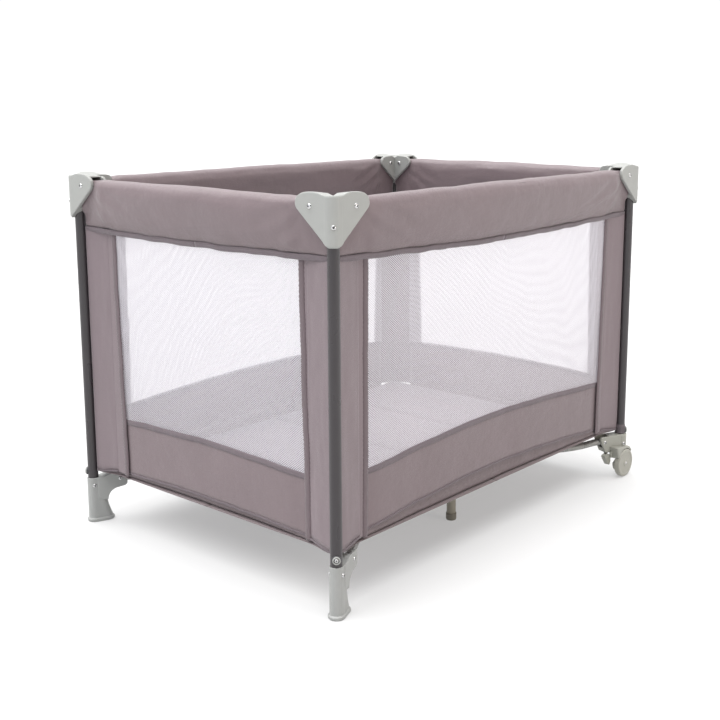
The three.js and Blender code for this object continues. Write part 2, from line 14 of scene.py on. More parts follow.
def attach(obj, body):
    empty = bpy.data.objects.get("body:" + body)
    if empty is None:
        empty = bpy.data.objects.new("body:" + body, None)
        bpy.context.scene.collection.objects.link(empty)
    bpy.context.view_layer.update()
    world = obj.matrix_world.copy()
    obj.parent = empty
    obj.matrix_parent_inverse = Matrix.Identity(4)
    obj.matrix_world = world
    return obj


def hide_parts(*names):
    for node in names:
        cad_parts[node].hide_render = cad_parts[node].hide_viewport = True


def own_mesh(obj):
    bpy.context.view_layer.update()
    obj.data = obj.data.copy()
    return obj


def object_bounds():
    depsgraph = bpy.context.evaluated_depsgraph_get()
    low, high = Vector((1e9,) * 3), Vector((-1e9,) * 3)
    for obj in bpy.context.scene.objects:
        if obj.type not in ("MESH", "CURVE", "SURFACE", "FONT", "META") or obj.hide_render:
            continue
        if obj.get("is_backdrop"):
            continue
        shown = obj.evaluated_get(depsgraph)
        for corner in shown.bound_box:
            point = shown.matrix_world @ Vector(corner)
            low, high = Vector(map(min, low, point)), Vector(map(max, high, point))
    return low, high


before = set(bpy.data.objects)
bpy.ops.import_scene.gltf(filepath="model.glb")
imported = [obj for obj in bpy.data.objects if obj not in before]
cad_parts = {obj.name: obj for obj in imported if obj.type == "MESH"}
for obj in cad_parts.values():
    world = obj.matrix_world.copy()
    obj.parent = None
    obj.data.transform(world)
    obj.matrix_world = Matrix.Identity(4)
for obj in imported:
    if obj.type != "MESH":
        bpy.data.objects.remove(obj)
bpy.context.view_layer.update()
scene = bpy.context.scene
MM = 0.001

# Sizes, in millimetres, repeated from the frame.
POST_X, POST_Y = 505, 361
RAIL_Z = 732
WALL_INSET = 13                     # cloth walls run this far inside the line of posts
STRIP_END = 76                      # edge of the solid corner strip, from the post axis
HEM = 11                            # height of the sewn hems
FLOOR_CLOTH_Z = 106.6               # the floor cloth under the mattress
FLOOR_EDGE_Z = 115                  # it is pulled up this high at the walls
BELLY_DEPTH = 12                    # the skirt under a band turns in by this much
NET_TOP_Z = 641                     # the netting ends inside the sleeve's hem

CORNERS = {
    "front_left": (-1, -1), "front_right": (1, -1),
    "rear_right": (1, 1), "rear_left": (-1, 1),
}
SIDES = {
    "front": dict(turn=0, away=POST_Y, half=POST_X, ends=("front_left", "front_right"), seed=1),
    "right": dict(turn=90, away=POST_X, half=POST_Y, ends=("front_right", "rear_right"), seed=2),
    "rear": dict(turn=180, away=POST_Y, half=POST_X, ends=("rear_right", "rear_left"), seed=3),
    "left": dict(turn=-90, away=POST_X, half=POST_Y, ends=("rear_left", "front_left"), seed=4),
}
# The post that carries each side's cloth.
CARRIER = {"front": "front_left", "left": "front_left", "right": "front_right", "rear": "rear_left"}


# ---------- camera ----------

camera_data = bpy.data.cameras.new("camera")
camera = bpy.data.objects.new("camera", camera_data)
scene.collection.objects.link(camera)
scene.camera = camera
CAMERA_AT = Vector((-1.8586, -1.6374, 0.9158))
CAMERA_YAW, CAMERA_PITCH = math.radians(49.654), math.radians(10.404)
camera.location = CAMERA_AT
camera.rotation_euler = (math.pi / 2 - CAMERA_PITCH, 0, -CAMERA_YAW)
camera_data.sensor_width = 36
camera_data.lens = 56.04
camera_data.shift_x = -0.0432
camera_data.shift_y = -0.0835
camera_data.clip_end = 60


# ---------- materials ----------

class Look:
    """A node material in the making."""

    def __init__(self, name):
        self.material = bpy.data.materials.new(name)
        self.material.use_nodes = True
        self.tree = self.material.node_tree
        self.shader = self.tree.nodes["Principled BSDF"]
        self.output = self.tree.nodes["Material Output"]
        self.coords = self.add("ShaderNodeTexCoord").outputs["Object"]

    def add(self, kind, **inputs):
        made = self.tree.nodes.new(kind)
        for key, value in inputs.items():
            self.put(made.inputs[key.replace("_", " ")], value)
        return made

    def put(self, socket, value):
        if isinstance(value, bpy.types.NodeSocket):
            self.tree.links.new(value, socket)
        else:
            socket.default_value = value

    def math(self, operation, *values, clamp=False):
        made = self.tree.nodes.new("ShaderNodeMath")
        made.operation, made.use_clamp = operation, clamp
        for socket, value in zip(made.inputs, values):
            self.put(socket, value)
        return made.outputs[0]

    def noise(self, scale, detail=3.0, stretch=(1, 1, 1)):
        mapping = self.add("ShaderNodeMapping", Vector=self.coords, Scale=stretch)
        made = self.add("ShaderNodeTexNoise", Vector=mapping.outputs[0], Scale=scale, Detail=detail)
        return made.outputs["Fac"]

    def split(self):
        parts = self.add("ShaderNodeSeparateXYZ", Vector=self.coords)
        return parts.outputs[0], parts.outputs[1], parts.outputs[2]

    def mix(self, share, a, b):
        made = self.tree.nodes.new("ShaderNodeMix")
        made.data_type = "RGBA"
        self.put(made.inputs[0], share)
        self.put(made.inputs[6], a)
        self.put(made.inputs[7], b)
        return made.outputs[2]

    def spread(self, value, low, high, to_low=0.0, to_high=1.0):
        made = self.add("ShaderNodeMapRange")
        for socket, v in zip(made.inputs, (value, low, high, to_low, to_high)):
            self.put(socket, v)
        return made.outputs[0]

    def bump(self, height, strength, distance, after=None):
        made = self.add("ShaderNodeBump", Height=height, Strength=strength, Distance=distance)
        if after is not None:
            self.put(made.inputs["Normal"], after)
        return made.outputs[0]

    def set(self, **values):
        for key, value in values.items():
            self.put(self.shader.inputs[key.replace("_", " ")], value)


def linear(r, g, b):
    """An sRGB colour of 0 to 255 as linear light."""
    def one(c):
        c /= 255
        return c / 12.92 if c <= 0.04045 else ((c + 0.055) / 1.055) ** 2.4
    return (one(r), one(g), one(b), 1.0)


def scaled(colour, share):
    return tuple(c * share for c in colour[:3]) + (1.0,)


def woven(name, colour, rough=0.42, thread=1.0, weave=0.25, crumple=0.5, flat=False):
    """Smooth polyester cloth: fine plain weave, slubs, slow colour drift and soft creases."""
    look = Look(name)
    x, y, z = look.split()
    across = x if flat else look.math("ADD", x, y)
    up = y if flat else z
    turns = 2 * math.pi / (thread * MM)
    warp = look.math("SINE", look.math("MULTIPLY", across, turns))
    weft = look.math("SINE", look.math("MULTIPLY", up, turns))
    cross = look.math("MULTIPLY", warp, weft)
    drift = look.noise(9.0, 2.0)
    slub = look.noise(420.0, 2.0, (1, 1, 0.12))
    streaks = look.spread(slub, 0.3, 0.7, -0.025, 0.025)
    tone = look.math("ADD", look.spread(drift, 0.3, 0.7, -0.05, 0.05), streaks)
    tone = look.math("ADD", tone, look.math("MULTIPLY", cross, 0.02))
    share = look.math("ADD", tone, 0.5, clamp=True)
    base = look.mix(share, scaled(colour, 0.70), scaled(colour, 1.30))
    look.set(Base_Color=base, Sheen_Weight=0.25, Sheen_Roughness=0.4, Specular_IOR_Level=0.5)
    look.set(Roughness=look.spread(drift, 0.3, 0.7, rough - 0.04, rough + 0.05))
    wrinkle = look.bump(look.noise(26.0, 4.0, (1, 1, 1.6)), crumple, 0.004)
    crease = look.bump(look.noise(90.0, 3.0, (1, 1, 0.5)), crumple * 0.5, 0.0015, wrinkle)
    look.set(Normal=look.bump(cross, weave, 0.0002, crease))
    return look.material


def moulded(name, colour, rough=0.4, grain=0.12):
    """Moulded plastic: fine spark-erosion grain, softened edges with a painted highlight along them, faint
    handling marks.
    """
    look = Look(name)
    patch = look.noise(22.0, 3.0)
    share = look.spread(patch, 0.3, 0.7, 0.44, 0.56)
    base = look.mix(share, scaled(colour, 0.75), scaled(colour, 1.25))
    soft = look.add("ShaderNodeBevel", Radius=1.2 * MM)
    soft.samples = 4
    plain = look.add("ShaderNodeNewGeometry").outputs["Normal"]
    dot = look.tree.nodes.new("ShaderNodeVectorMath")
    dot.operation = "DOT_PRODUCT"
    look.put(dot.inputs[0], soft.outputs[0])
    look.put(dot.inputs[1], plain)
    # Painted highlight: the colour is lightened along every edge, where the bevelled normal turns away from
    # the face.
    edge = look.spread(dot.outputs["Value"], 0.995, 0.86, 0.0, 0.25)
    look.set(Base_Color=look.mix(edge, base, scaled(colour, 1.45)), Specular_IOR_Level=0.5, Coat_Weight=0.0)
    look.set(Roughness=look.spread(look.noise(60.0, 2.0), 0.3, 0.7, rough - 0.05, rough + 0.06))
    look.set(Normal=look.bump(look.noise(1400.0, 2.0), grain, 0.0003, soft.outputs[0]))
    return look.material


def painted_tube(name, colour, rough, metallic, coat):
    """Powder-coated or plated steel tube: orange-peel skin, faint draw lines and small scuffs."""
    look = Look(name)
    scuff = look.spread(look.noise(180.0, 4.0, (1, 1, 0.15)), 0.62, 0.75)
    base = look.mix(look.math("MULTIPLY", scuff, 0.25), colour, scaled(colour, 1.9))
    look.set(Base_Color=base, Metallic=metallic, Coat_Weight=coat, Coat_Roughness=0.25)
    look.set(Roughness=look.spread(look.noise(35.0, 2.0, (1, 1, 0.3)), 0.3, 0.7, rough - 0.05, rough + 0.07))
    look.set(Normal=look.bump(look.noise(900.0, 2.0), 0.08, 0.0003))
    return look.material


def bright_steel(name):
    """Plated screws and rivets: small dents and changes of shine."""
    look = Look(name)
    colour, rough = linear(205, 205, 205), 0.18
    look.set(Base_Color=look.mix(look.noise(300.0), scaled(colour, 0.8), colour), Metallic=1.0)
    look.set(Roughness=look.spread(look.noise(500.0), 0.3, 0.7, rough, rough + 0.12))
    look.set(Normal=look.bump(look.noise(700.0), 0.15, 0.0003))
    return look.material


NET_PITCH, NET_ROW = 2.5, 2.1       # from one hole to the next, along and up
NET_COVER = (0.14, 0.86)            # how much of the light a hole and a yarn stop


def netting(name):
    """Knitted netting: small holes in rows, each row half a hole along from the next."""
    look = Look(name)
    x, y, z = look.split()
    across = look.math("MULTIPLY", look.math("ADD", x, y), math.pi / (NET_PITCH * MM))
    up = look.math("MULTIPLY", z, math.pi / (NET_ROW * MM))
    cell = look.math("MULTIPLY", look.math("COSINE", across), look.math("COSINE", up))
    yarn = look.spread(cell, 0.22, 0.12, *NET_COVER)
    thread = look.add("ShaderNodeBsdfTranslucent", Color=linear(225, 222, 228))
    clear = look.add("ShaderNodeBsdfTransparent")
    look.set(Base_Color=look.mix(look.noise(300.0), linear(214, 211, 217), linear(230, 227, 233)))
    look.set(Roughness=0.6, Sheen_Weight=0.2, Specular_IOR_Level=0.3)
    look.set(Normal=look.bump(cell, 0.4, 0.0004))
    body = look.add("ShaderNodeMixShader")
    look.put(body.inputs[0], 0.45)
    look.put(body.inputs[1], look.shader.outputs[0])
    look.put(body.inputs[2], thread.outputs[0])
    whole = look.add("ShaderNodeMixShader")
    look.put(whole.inputs[0], yarn)
    look.put(whole.inputs[1], clear.outputs[0])
    look.put(whole.inputs[2], body.outputs[0])
    look.put(look.output.inputs[0], whole.outputs[0])
    return look.material


CLOTH = linear(113, 99, 102)
CLOTH_DARK = linear(100, 89, 94)
FABRIC = woven("satin_cloth", CLOTH)
STRIP = woven("strip_cloth", linear(119, 106, 110), rough=0.5, crumple=0.35)
HEM_LOOK = woven("hem_tape", CLOTH_DARK, rough=0.6, thread=2.2, weave=0.6, crumple=0.6)
BINDING = woven("binding_tape", linear(101, 88, 92), rough=0.65, thread=1.8, weave=0.8, crumple=0.5)
UNDER = woven("under_cloth", linear(112, 100, 102), rough=0.65, crumple=0.9, flat=True)
PAD = woven("mattress_cloth", linear(108, 101, 106), rough=0.6, thread=1.6, weave=0.5, crumple=0.7, flat=True)
WEBBING = woven("webbing", linear(58, 54, 58), rough=0.7, thread=1.4, weave=0.9, flat=True)
NET = netting("netting")
CAP_LOOK = moulded("cap_plastic", linear(151, 152, 149), rough=0.34)
FOOT_LOOK = moulded("foot_plastic", linear(150, 151, 149), rough=0.4)
WHEEL_LOOK = moulded("wheel_plastic", linear(152, 151, 142), rough=0.42)
BRACKET_LOOK = moulded("bracket_plastic", linear(146, 146, 138), rough=0.4)
LEG_LOOK = moulded("leg_plastic", linear(140, 135, 122), rough=0.48)
RUBBER = moulded("rubber", linear(120, 116, 106), rough=0.7, grain=0.4)
LATCH_LOOK = moulded("latch_plastic", linear(84, 81, 84), rough=0.5, grain=0.2)
BUTTON_LOOK = moulded("button_plastic", linear(160, 160, 160), rough=0.45)
POST_LOOK = painted_tube("post_paint", linear(44, 39, 42), rough=0.3, metallic=0.0, coat=0.25)
TUBE_LOOK = painted_tube("tube_plating", linear(150, 149, 146), rough=0.28, metallic=0.7, coat=0.1)
STEEL = bright_steel("bright_steel")
# Dark plastic used as painted shade: it darkens rivet eyes, screw slots, the well round the boss screw and a
# ring behind the boss.
RECESS_SHADE = moulded("painted_recess_shade", linear(60, 60, 62), rough=0.5)
COLLAR_LOOK = moulded("collar_plastic", linear(84, 76, 80), rough=0.4)


# ---------- mesh helpers ----------

def make(name, vertices, faces, look, smooth=True):
    mesh = bpy.data.meshes.new(name)
    mesh.from_pydata([tuple(v) for v in vertices], [], faces)
    mesh.validate()
    mesh.materials.append(look)
    made = bpy.data.objects.new(name, mesh)
    scene.collection.objects.link(made)
    if smooth:
        mesh.shade_smooth()
    return made


def grid(name, rows, look, wrap=False):
    """A skin through rows of points. wrap joins the last point of each row to its first."""
    count = len(rows[0])
    vertices = [p for row in rows for p in row]
    faces = []
    for r in range(len(rows) - 1):
        for i in range(count if wrap else count - 1):
            j = (i + 1) % count
            faces.append((r * count + i, r * count + j, (r + 1) * count + j, (r + 1) * count + i))
    return make(name, vertices, faces, look)


def close_ends(piece, count):
    """Caps the two open ends of a tube of rings."""
    mesh = bmesh.new()
    mesh.from_mesh(piece.data)
    mesh.verts.ensure_lookup_table()
    total = len(mesh.verts)
    mesh.faces.new([mesh.verts[i] for i in range(count)])
    mesh.faces.new([mesh.verts[i] for i in reversed(range(total - count, total))])
    bmesh.ops.recalc_face_normals(mesh, faces=mesh.faces[:])
    mesh.to_mesh(piece.data)
    mesh.free()


def thicken(piece, thickness):
    added = piece.modifiers.new("cloth", "SOLIDIFY")
    added.thickness, added.offset = thickness * MM, 0


def on_side(side, s, o, z):
    """Millimetres along a side, outward from its posts and up, as a point in the row frame."""
    info = SIDES[side]
    a = math.radians(info["turn"])
    x, y = s, -(info["away"] + o)
    return Vector((x * math.cos(a) - y * math.sin(a), x * math.sin(a) + y * math.cos(a), z)) * MM


def along(side):
    a = math.radians(SIDES[side]["turn"])
    return Vector((math.cos(a), math.sin(a), 0))


def smooth_step(x, low, high):
    t = min(1.0, max(0.0, (x - low) / (high - low)))
    return t * t * (3 - 2 * t)


def ripple(x, y, seed):
    """Smooth irregular waves of about +-1."""
    return 1.6 * noise.fractal(Vector((x, y, 7.3 * seed)), 0.6, 2.0, 2)


def spaced(low, high, step):
    count = max(2, int(round((high - low) / step)) + 1)
    return [float(v) for v in np.linspace(low, high, count)]


def dress(look, *names):
    """Gives CAD nodes a finished material and soft shading."""
    for name in names:
        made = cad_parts[name]
        made.data.materials.clear()
        made.data.materials.append(look)
        made.data.shade_smooth()
        made.data.set_sharp_from_angle(angle=math.radians(32))


# ---------- side walls ----------

def is_long(side):
    return SIDES[side]["half"] == POST_X


def arch(side, s):
    """1 in the middle of a side, falling to 0 at the posts."""
    info = SIDES[side]
    return math.cos(math.pi / 2 * min(1.0, abs(s) / info["half"]))


def hem_bottom(side, s):
    seed = SIDES[side]["seed"]
    sag = (9 if is_long(side) else 3) * arch(side, s) ** 1.5
    return 635 - sag + 1.2 * ripple(s / 60, 3.0, seed)


def band_top(side, s):
    rise = 25 if is_long(side) else 12
    return 239 + rise * arch(side, s) + 0.8 * ripple(s / 90, 9.0, SIDES[side]["seed"])


def band_bottom(side, s):
    rise = 27 if is_long(side) else 9
    return 121 + rise * arch(side, s) + 0.8 * ripple(s / 80, 5.0, SIDES[side]["seed"])


def bow(side, s, z):
    """How far the cloth wall stands from the post line: inward in the middle, with faint waves."""
    pull = (10 if is_long(side) else 6) * arch(side, s) * (1 - smooth_step(z, 150, 620))
    free = smooth_step(SIDES[side]["half"] - abs(s), 100, 190)
    lift = 5 * smooth_step(z, 400, 640) * arch(side, s) * free
    wave = 1.1 * ripple(s / 110, z / 170, SIDES[side]["seed"]) * free
    return -WALL_INSET - pull + lift + wave


TUCK = 1.5                          # the wall lies this much deeper behind the borders
NET_REACH = 6                       # the netting runs on this far behind the corner strips
SKIRT_ROWS = 8


def wall_cloth(side, name, z_low, z_high, look, rows=12, step=12, proud=0.0, reach=0.0):
    """A stretch of wall between two heights, from one corner strip to the other."""
    half = SIDES[side]["half"] - STRIP_END + reach
    stations = spaced(-half, half, step)
    lines = []
    for i in range(rows + 1):
        line = []
        for s in stations:
            low, high = z_low(side, s), z_high(side, s)
            z = low + (high - low) * i / rows
            clear = smooth_step(SIDES[side]["half"] - abs(s), 98, 130)
            o = bow(side, s, z) + proud * clear - TUCK * (1 - clear)
            line.append(on_side(side, s, o, z))
        lines.append(line)
    return grid(f"{name}_{side}", lines, look)


def fold_flat(piece, side):
    """Cloth between the corner strips rides on its carrier's post."""
    carrier = CARRIER[side]
    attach(piece, f"post_{carrier}")
    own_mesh(piece)


for side, info in SIDES.items():
    width = 2 * (info["half"] - STRIP_END) * MM

    net = wall_cloth(
        side, "net", lambda d, s: band_top(d, s) - 4, lambda d, s: NET_TOP_Z, NET, rows=26, reach=NET_REACH)

    band = wall_cloth(
        side, "band", lambda d, s: band_bottom(d, s) + 1, lambda d, s: band_top(d, s) - 1, FABRIC, proud=1)
    thicken(band, 1.4)
    top_hem = wall_cloth(
        side, "band_top_hem", lambda d, s: band_top(d, s) - HEM, band_top, HEM_LOOK, rows=3, proud=1.6)
    thicken(top_hem, 2.6)

    low_hem = wall_cloth(
        side, "band_low_hem", band_bottom, lambda d, s: band_bottom(d, s) + 4, HEM_LOOK, rows=3, proud=1.2)
    thicken(low_hem, 2.2)

    lines = []
    for step in range(SKIRT_ROWS + 1):
        share = step / SKIRT_ROWS
        line = []
        for s in spaced(-info["half"] + STRIP_END - 2, info["half"] - STRIP_END + 2, 12):
            top = band_bottom(side, s) + 3
            seam = band_bottom(side, s) - 2
            if is_long(side):
                seam = FLOOR_EDGE_Z + 6 + 2 * arch(side, s) + 1.2 * ripple(s / 70, 2.0, info["seed"])
            start = bow(side, s, top) - 1.5
            if share < 0.5:
                z = top + (seam - top) * share * 2
                o = start - 1.0 * math.sin(math.pi * share * 2)
            else:
                turn = (share - 0.5) * math.pi
                z = seam - (seam - FLOOR_EDGE_Z) * math.sin(turn)
                o = start - BELLY_DEPTH * (1 - math.cos(turn))
            line.append(on_side(side, s, o, z))
        lines.append(line)
    belly = grid(f"floor_skirt_{side}", lines, UNDER)
    thicken(belly, 1.2)

    for piece in (net, band, top_hem, low_hem, belly):
        fold_flat(piece, side)
    for piece in (net, band, top_hem, low_hem):
        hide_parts(f"wall_{side}")


# ---------- corner strips ----------

HUG_R = 12.3                        # the corner cloth passes round the inner side of its post
HUG_FROM = math.radians(12)
HUG_X, HUG_Y = HUG_R * math.cos(HUG_FROM), HUG_R * math.sin(HUG_FROM)
STRIP_TOP_Z = 646
STRIP_ROWS = 39
STRIP_WIDTH = math.hypot(STRIP_END - HUG_X, WALL_INSET - HUG_Y)
CORNER_PATH = 2 * STRIP_WIDTH + HUG_R * (math.pi / 2 - 2 * HUG_FROM)
COLLAR_TOP = 128


def corner_point(corner, u, z, out=0.0):
    """A point of the corner cloth, u millimetres along its plan path from the X side to the Y side."""
    sx, sy = CORNERS[corner]
    other = u > CORNER_PATH / 2
    along_path = CORNER_PATH - u if other else u
    if along_path < STRIP_WIDTH:
        share = along_path / STRIP_WIDTH
        nx, ny = -(WALL_INSET - HUG_Y) / STRIP_WIDTH, (STRIP_END - HUG_X) / STRIP_WIDTH
        x, y = STRIP_END + (HUG_X - STRIP_END) * share, WALL_INSET + (HUG_Y - WALL_INSET) * share
    else:
        a = HUG_FROM + (along_path - STRIP_WIDTH) / HUG_R
        nx, ny = math.cos(a), math.sin(a)
        x, y = HUG_R * nx, HUG_R * ny
    if sx > 0:                      # the cloth passes outside the collar below the right-hand posts
        beside = smooth_step(along_path, STRIP_WIDTH - 18, STRIP_WIDTH)
        out -= 1.4 * beside * (1 - smooth_step(z, COLLAR_TOP, COLLAR_TOP + 8))
    x, y = x - nx * out, y - ny * out
    if other:
        x, y = y, x
    return Vector((sx * (POST_X - x), sy * (POST_Y - y), z)) * MM


def strip_low(t):
    """Height of the lower edge of the corner cloth, t millimetres along a side from the post axis."""
    return 116 + 8 * smooth_step(t, 12, 80)


def cut_the_corner(piece, corner):
    """Corner cloth rides on its post."""
    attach(piece, f"post_{corner}")
    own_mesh(piece)


for seed, corner in enumerate(CORNERS):
    lines = []
    for k in range(STRIP_ROWS + 1):
        line = []
        for u in spaced(0, CORNER_PATH, 3):
            edge = min(u, CORNER_PATH - u)
            low = strip_low(STRIP_END - edge)
            z = low + (STRIP_TOP_Z - low) * k / STRIP_ROWS
            loose = smooth_step(edge, 0, 14) * (1 - smooth_step(edge, STRIP_WIDTH - 22, STRIP_WIDTH - 4))
            wave = 1.0 * ripple(u / 30, z / 120, seed + 11) * loose
            line.append(corner_point(corner, u, z, wave))
        lines.append(line)
    strip = grid(f"corner_strip_{corner}", lines, STRIP)
    thicken(strip, 1.2)
    cut_the_corner(strip, corner)

    lines = []
    for step in range(4):
        line = []
        for u in spaced(0, CORNER_PATH, 4):
            edge = min(u, CORNER_PATH - u)
            low = strip_low(STRIP_END - edge) - 1
            line.append(corner_point(corner, u, low + 1.3 * step, 0.9 - 0.9 * smooth_step(edge, 40, 60)))
        lines.append(line)
    low_tape = grid(f"corner_hem_{corner}", lines, HEM_LOOK)
    thicken(low_tape, 2.2)
    cut_the_corner(low_tape, corner)


# ---------- borders between the corner strips and the netting ----------

# Distance of each border's outer edge from the post axis, as (top, bottom), at the two ends of a side.
BORDER = {
    "front": ((101, 98), (88, 100)), "rear": ((88, 100), (101, 98)),
    "left": ((102, 113), (95, 86)), "right": ((95, 86), (102, 113)),
}
BORDER_O = -12.3                    # just outside the corner strip
BORDER_TOP_Z = 640
BORDER_ROWS, BORDER_STEPS = 53, 7
TAPE_HALF_WIDTH, TAPE_HALF_DEPTH = 6.8, 2.2
TAPE_SIDES = 16
PUCKER_PITCH = 9.0


def border_edge(side, end, z):
    """The outer edge leans a little, and wanders like a sewn edge."""
    top, bottom = BORDER[side][0 if end < 0 else 1]
    lean = (bottom - top) * (1 - smooth_step(z, 80, 640))
    return top + lean + 0.8 * ripple(0.3 + end, z / 60, SIDES[side]["seed"] + 21)


for side, info in SIDES.items():
    for end in (-1, 1):
        place = info["ends"][0 if end < 0 else 1]
        lines = []
        for k in range(BORDER_ROWS + 1):
            line = []
            for step in range(BORDER_STEPS + 1):
                t = STRIP_END - 3
                low = strip_low(t)
                z = low + (BORDER_TOP_Z - low) * k / BORDER_ROWS
                share = step / BORDER_STEPS
                t += (border_edge(side, end, z) - TAPE_HALF_WIDTH - t) * share
                line.append(on_side(side, end * (info["half"] - t), BORDER_O + 0.5 * share, z))
            lines.append(line)
        border = grid(f"border_{side}_{place}", lines, STRIP)

        lines = []
        for z in spaced(strip_low(STRIP_END) - 3, BORDER_TOP_Z, 4):
            line = []
            wave = math.sin(z * 2 * math.pi / PUCKER_PITCH + 0.7 * math.sin(z / 17))
            for k in range(TAPE_SIDES):
                a = 2 * math.pi * k / TAPE_SIDES
                pucker = 1 + 0.14 * wave * math.cos(a)
                t = border_edge(side, end, z) - TAPE_HALF_WIDTH * (1 - pucker * math.cos(a))
                o = BORDER_O + 0.3 + TAPE_HALF_DEPTH * math.sin(a)
                line.append(on_side(side, end * (info["half"] - t), o, z))
            lines.append(line)
        tape = grid(f"binding_{side}_{place}", lines, BINDING, wrap=True)
        close_ends(tape, TAPE_SIDES)
        width = max(10, border_edge(side, end, 300) - TAPE_HALF_WIDTH - STRIP_END + 3) * MM
        for piece in (border, tape):
            fold_flat(piece, side)


# ---------- rail sleeves ----------

PROFILE = 48                        # points round a sleeve
SLEEVE_END = 12.6                   # where a sleeve starts, from the post axis


def sleeve_profile(side, s):
    """Points (o, z) round the padded sleeve at s: up the outer face, over the rail and down inside."""
    info = SIDES[side]
    seed = info["seed"]
    t = info["half"] - abs(s)                      # distance from the nearest post axis
    open_out = smooth_step(t, 58, 100)             # 0 inside the cap, 1 clear of it
    low = hem_bottom(side, s) + HEM - 1.5
    crest = 744 + 2 * open_out + 0.9 * ripple(s / 75, 1.0, seed)
    radius = 12 + 6 * open_out
    over_latch = 1 - smooth_step(abs(s), 50, 150)
    crest += 1.2 * over_latch
    latch = 2.2 * over_latch
    centre_z = crest - radius
    foot = -9 + 1.0 * open_out
    points = []
    full = radius + 1.0 * open_out
    for k in range(PROFILE):
        v = k / (PROFILE - 1)
        if v < 0.4:                                # outer face, hem to shoulder
            f = v / 0.4
            z = low + (centre_z - low) * f
            bulge = math.sin(math.pi / 2 * f ** 0.75)
            o = (foot + 4) + (full - (foot + 4)) * bulge
            side_of = 1
        elif v <= 0.6:                             # over the top
            a = math.pi * (v - 0.4) / 0.2
            o, z = full * math.cos(a), centre_z + radius * math.sin(a)
            side_of = math.cos(a)
        else:                                      # inner face, shoulder to hem
            f = (1 - v) / 0.4
            z = low + (centre_z - low) * f
            bulge = math.sin(math.pi / 2 * f ** 0.75)
            o = -((-foot + 4) + (full - (-foot + 4)) * bulge)
            side_of = -1
        near = 1 - smooth_step(t, 70, 150)
        face = 1 - smooth_step(z, centre_z - 12, centre_z + 8)
        fan = math.atan2(z - 736, t - 20) * 15
        pucker = 2.2 * near * open_out * face * math.sin(fan + 1.3 * ripple(s / 40, z / 40, seed + 5))
        drape = 1.0 * ripple(s / 130, z / 45, seed + (2 if side_of > 0 else 8)) * open_out
        o += side_of * (pucker + drape + latch * smooth_step(z, 690, 712))
        flank = 668 + 0.857 * t                    # under the cap the cloth tucks in beside the post
        tuck = (1 - smooth_step(t, 14, 62)) * (1 - smooth_step(z, flank - 16, flank + 4))
        o = o * (1 - tuck) + (-1.5 if o > foot else -9.5) * tuck
        limit = 12.2 + 30 * smooth_step(t, 62, 84)
        points.append((max(-limit, min(limit, o)), z))
    return points


def sleeve_stations(side):
    half = SIDES[side]["half"]
    close = spaced(SLEEVE_END, 160, 4)
    rest = spaced(160, half, 9)[1:]
    one = [-(half - t) for t in close + rest]
    return one + [-s for s in reversed(one[:-1])]


def swell(piece, pressure, cap, pinned, voxel=5.5, frames=20):
    """Fills a closed soft piece by cloth simulation, with no point moving further than cap."""
    bpy.context.view_layer.objects.active = piece
    remesh = piece.modifiers.new("remesh", "REMESH")
    remesh.mode, remesh.voxel_size = "VOXEL", voxel * MM
    bpy.ops.object.modifier_apply(modifier=remesh.name)
    start = np.array([v.co for v in piece.data.vertices])
    group = piece.vertex_groups.new(name="pin")
    for i, co in enumerate(start):
        weight = pinned(co)
        if weight > 0:
            group.add([i], weight, "REPLACE")
    cloth = piece.modifiers.new("cloth", "CLOTH")
    settings = cloth.settings
    settings.use_pressure, settings.uniform_pressure_force = True, pressure
    settings.effector_weights.gravity = 0
    settings.quality = 5
    settings.tension_stiffness = settings.compression_stiffness = 8
    settings.bending_stiffness = 0.4
    settings.vertex_group_mass = group.name
    cloth.collision_settings.use_self_collision = False
    cloth.point_cache.frame_start, cloth.point_cache.frame_end = 1, frames
    for number in range(1, frames + 1):
        scene.frame_set(number)
    shape = piece.evaluated_get(bpy.context.evaluated_depsgraph_get()).data
    end = np.array([v.co for v in shape.vertices])
    piece.modifiers.remove(cloth)
    piece.vertex_groups.remove(group)
    scene.frame_set(1)
    normals = np.array([v.normal for v in piece.data.vertices])
    move = end - start
    inward = np.minimum((move * normals).sum(axis=1), 0)
    move -= inward[:, None] * normals
    length = np.linalg.norm(move, axis=1)[:, None]
    move *= np.minimum(1.0, cap * MM / np.maximum(length, 1e-9))
    piece.data.vertices.foreach_set("co", (start + move).astype(np.float32).ravel())
    piece.data.update()
    piece.data.shade_smooth()


def cut_at(piece, side, keep_negative):
    """A copy of a whole sleeve, cut at the middle of its side."""
    half = piece.copy()
    half.data = piece.data.copy()
    scene.collection.objects.link(half)
    direction = along(side)
    mesh = bmesh.new()
    mesh.from_mesh(half.data)
    bmesh.ops.bisect_plane(
        mesh, geom=mesh.verts[:] + mesh.edges[:] + mesh.faces[:], dist=1e-6, plane_co=(0, 0, 0),
        plane_no=direction, clear_outer=keep_negative, clear_inner=not keep_negative)
    mesh.to_mesh(half.data)
    mesh.free()
    half.data.shade_smooth()
    return half


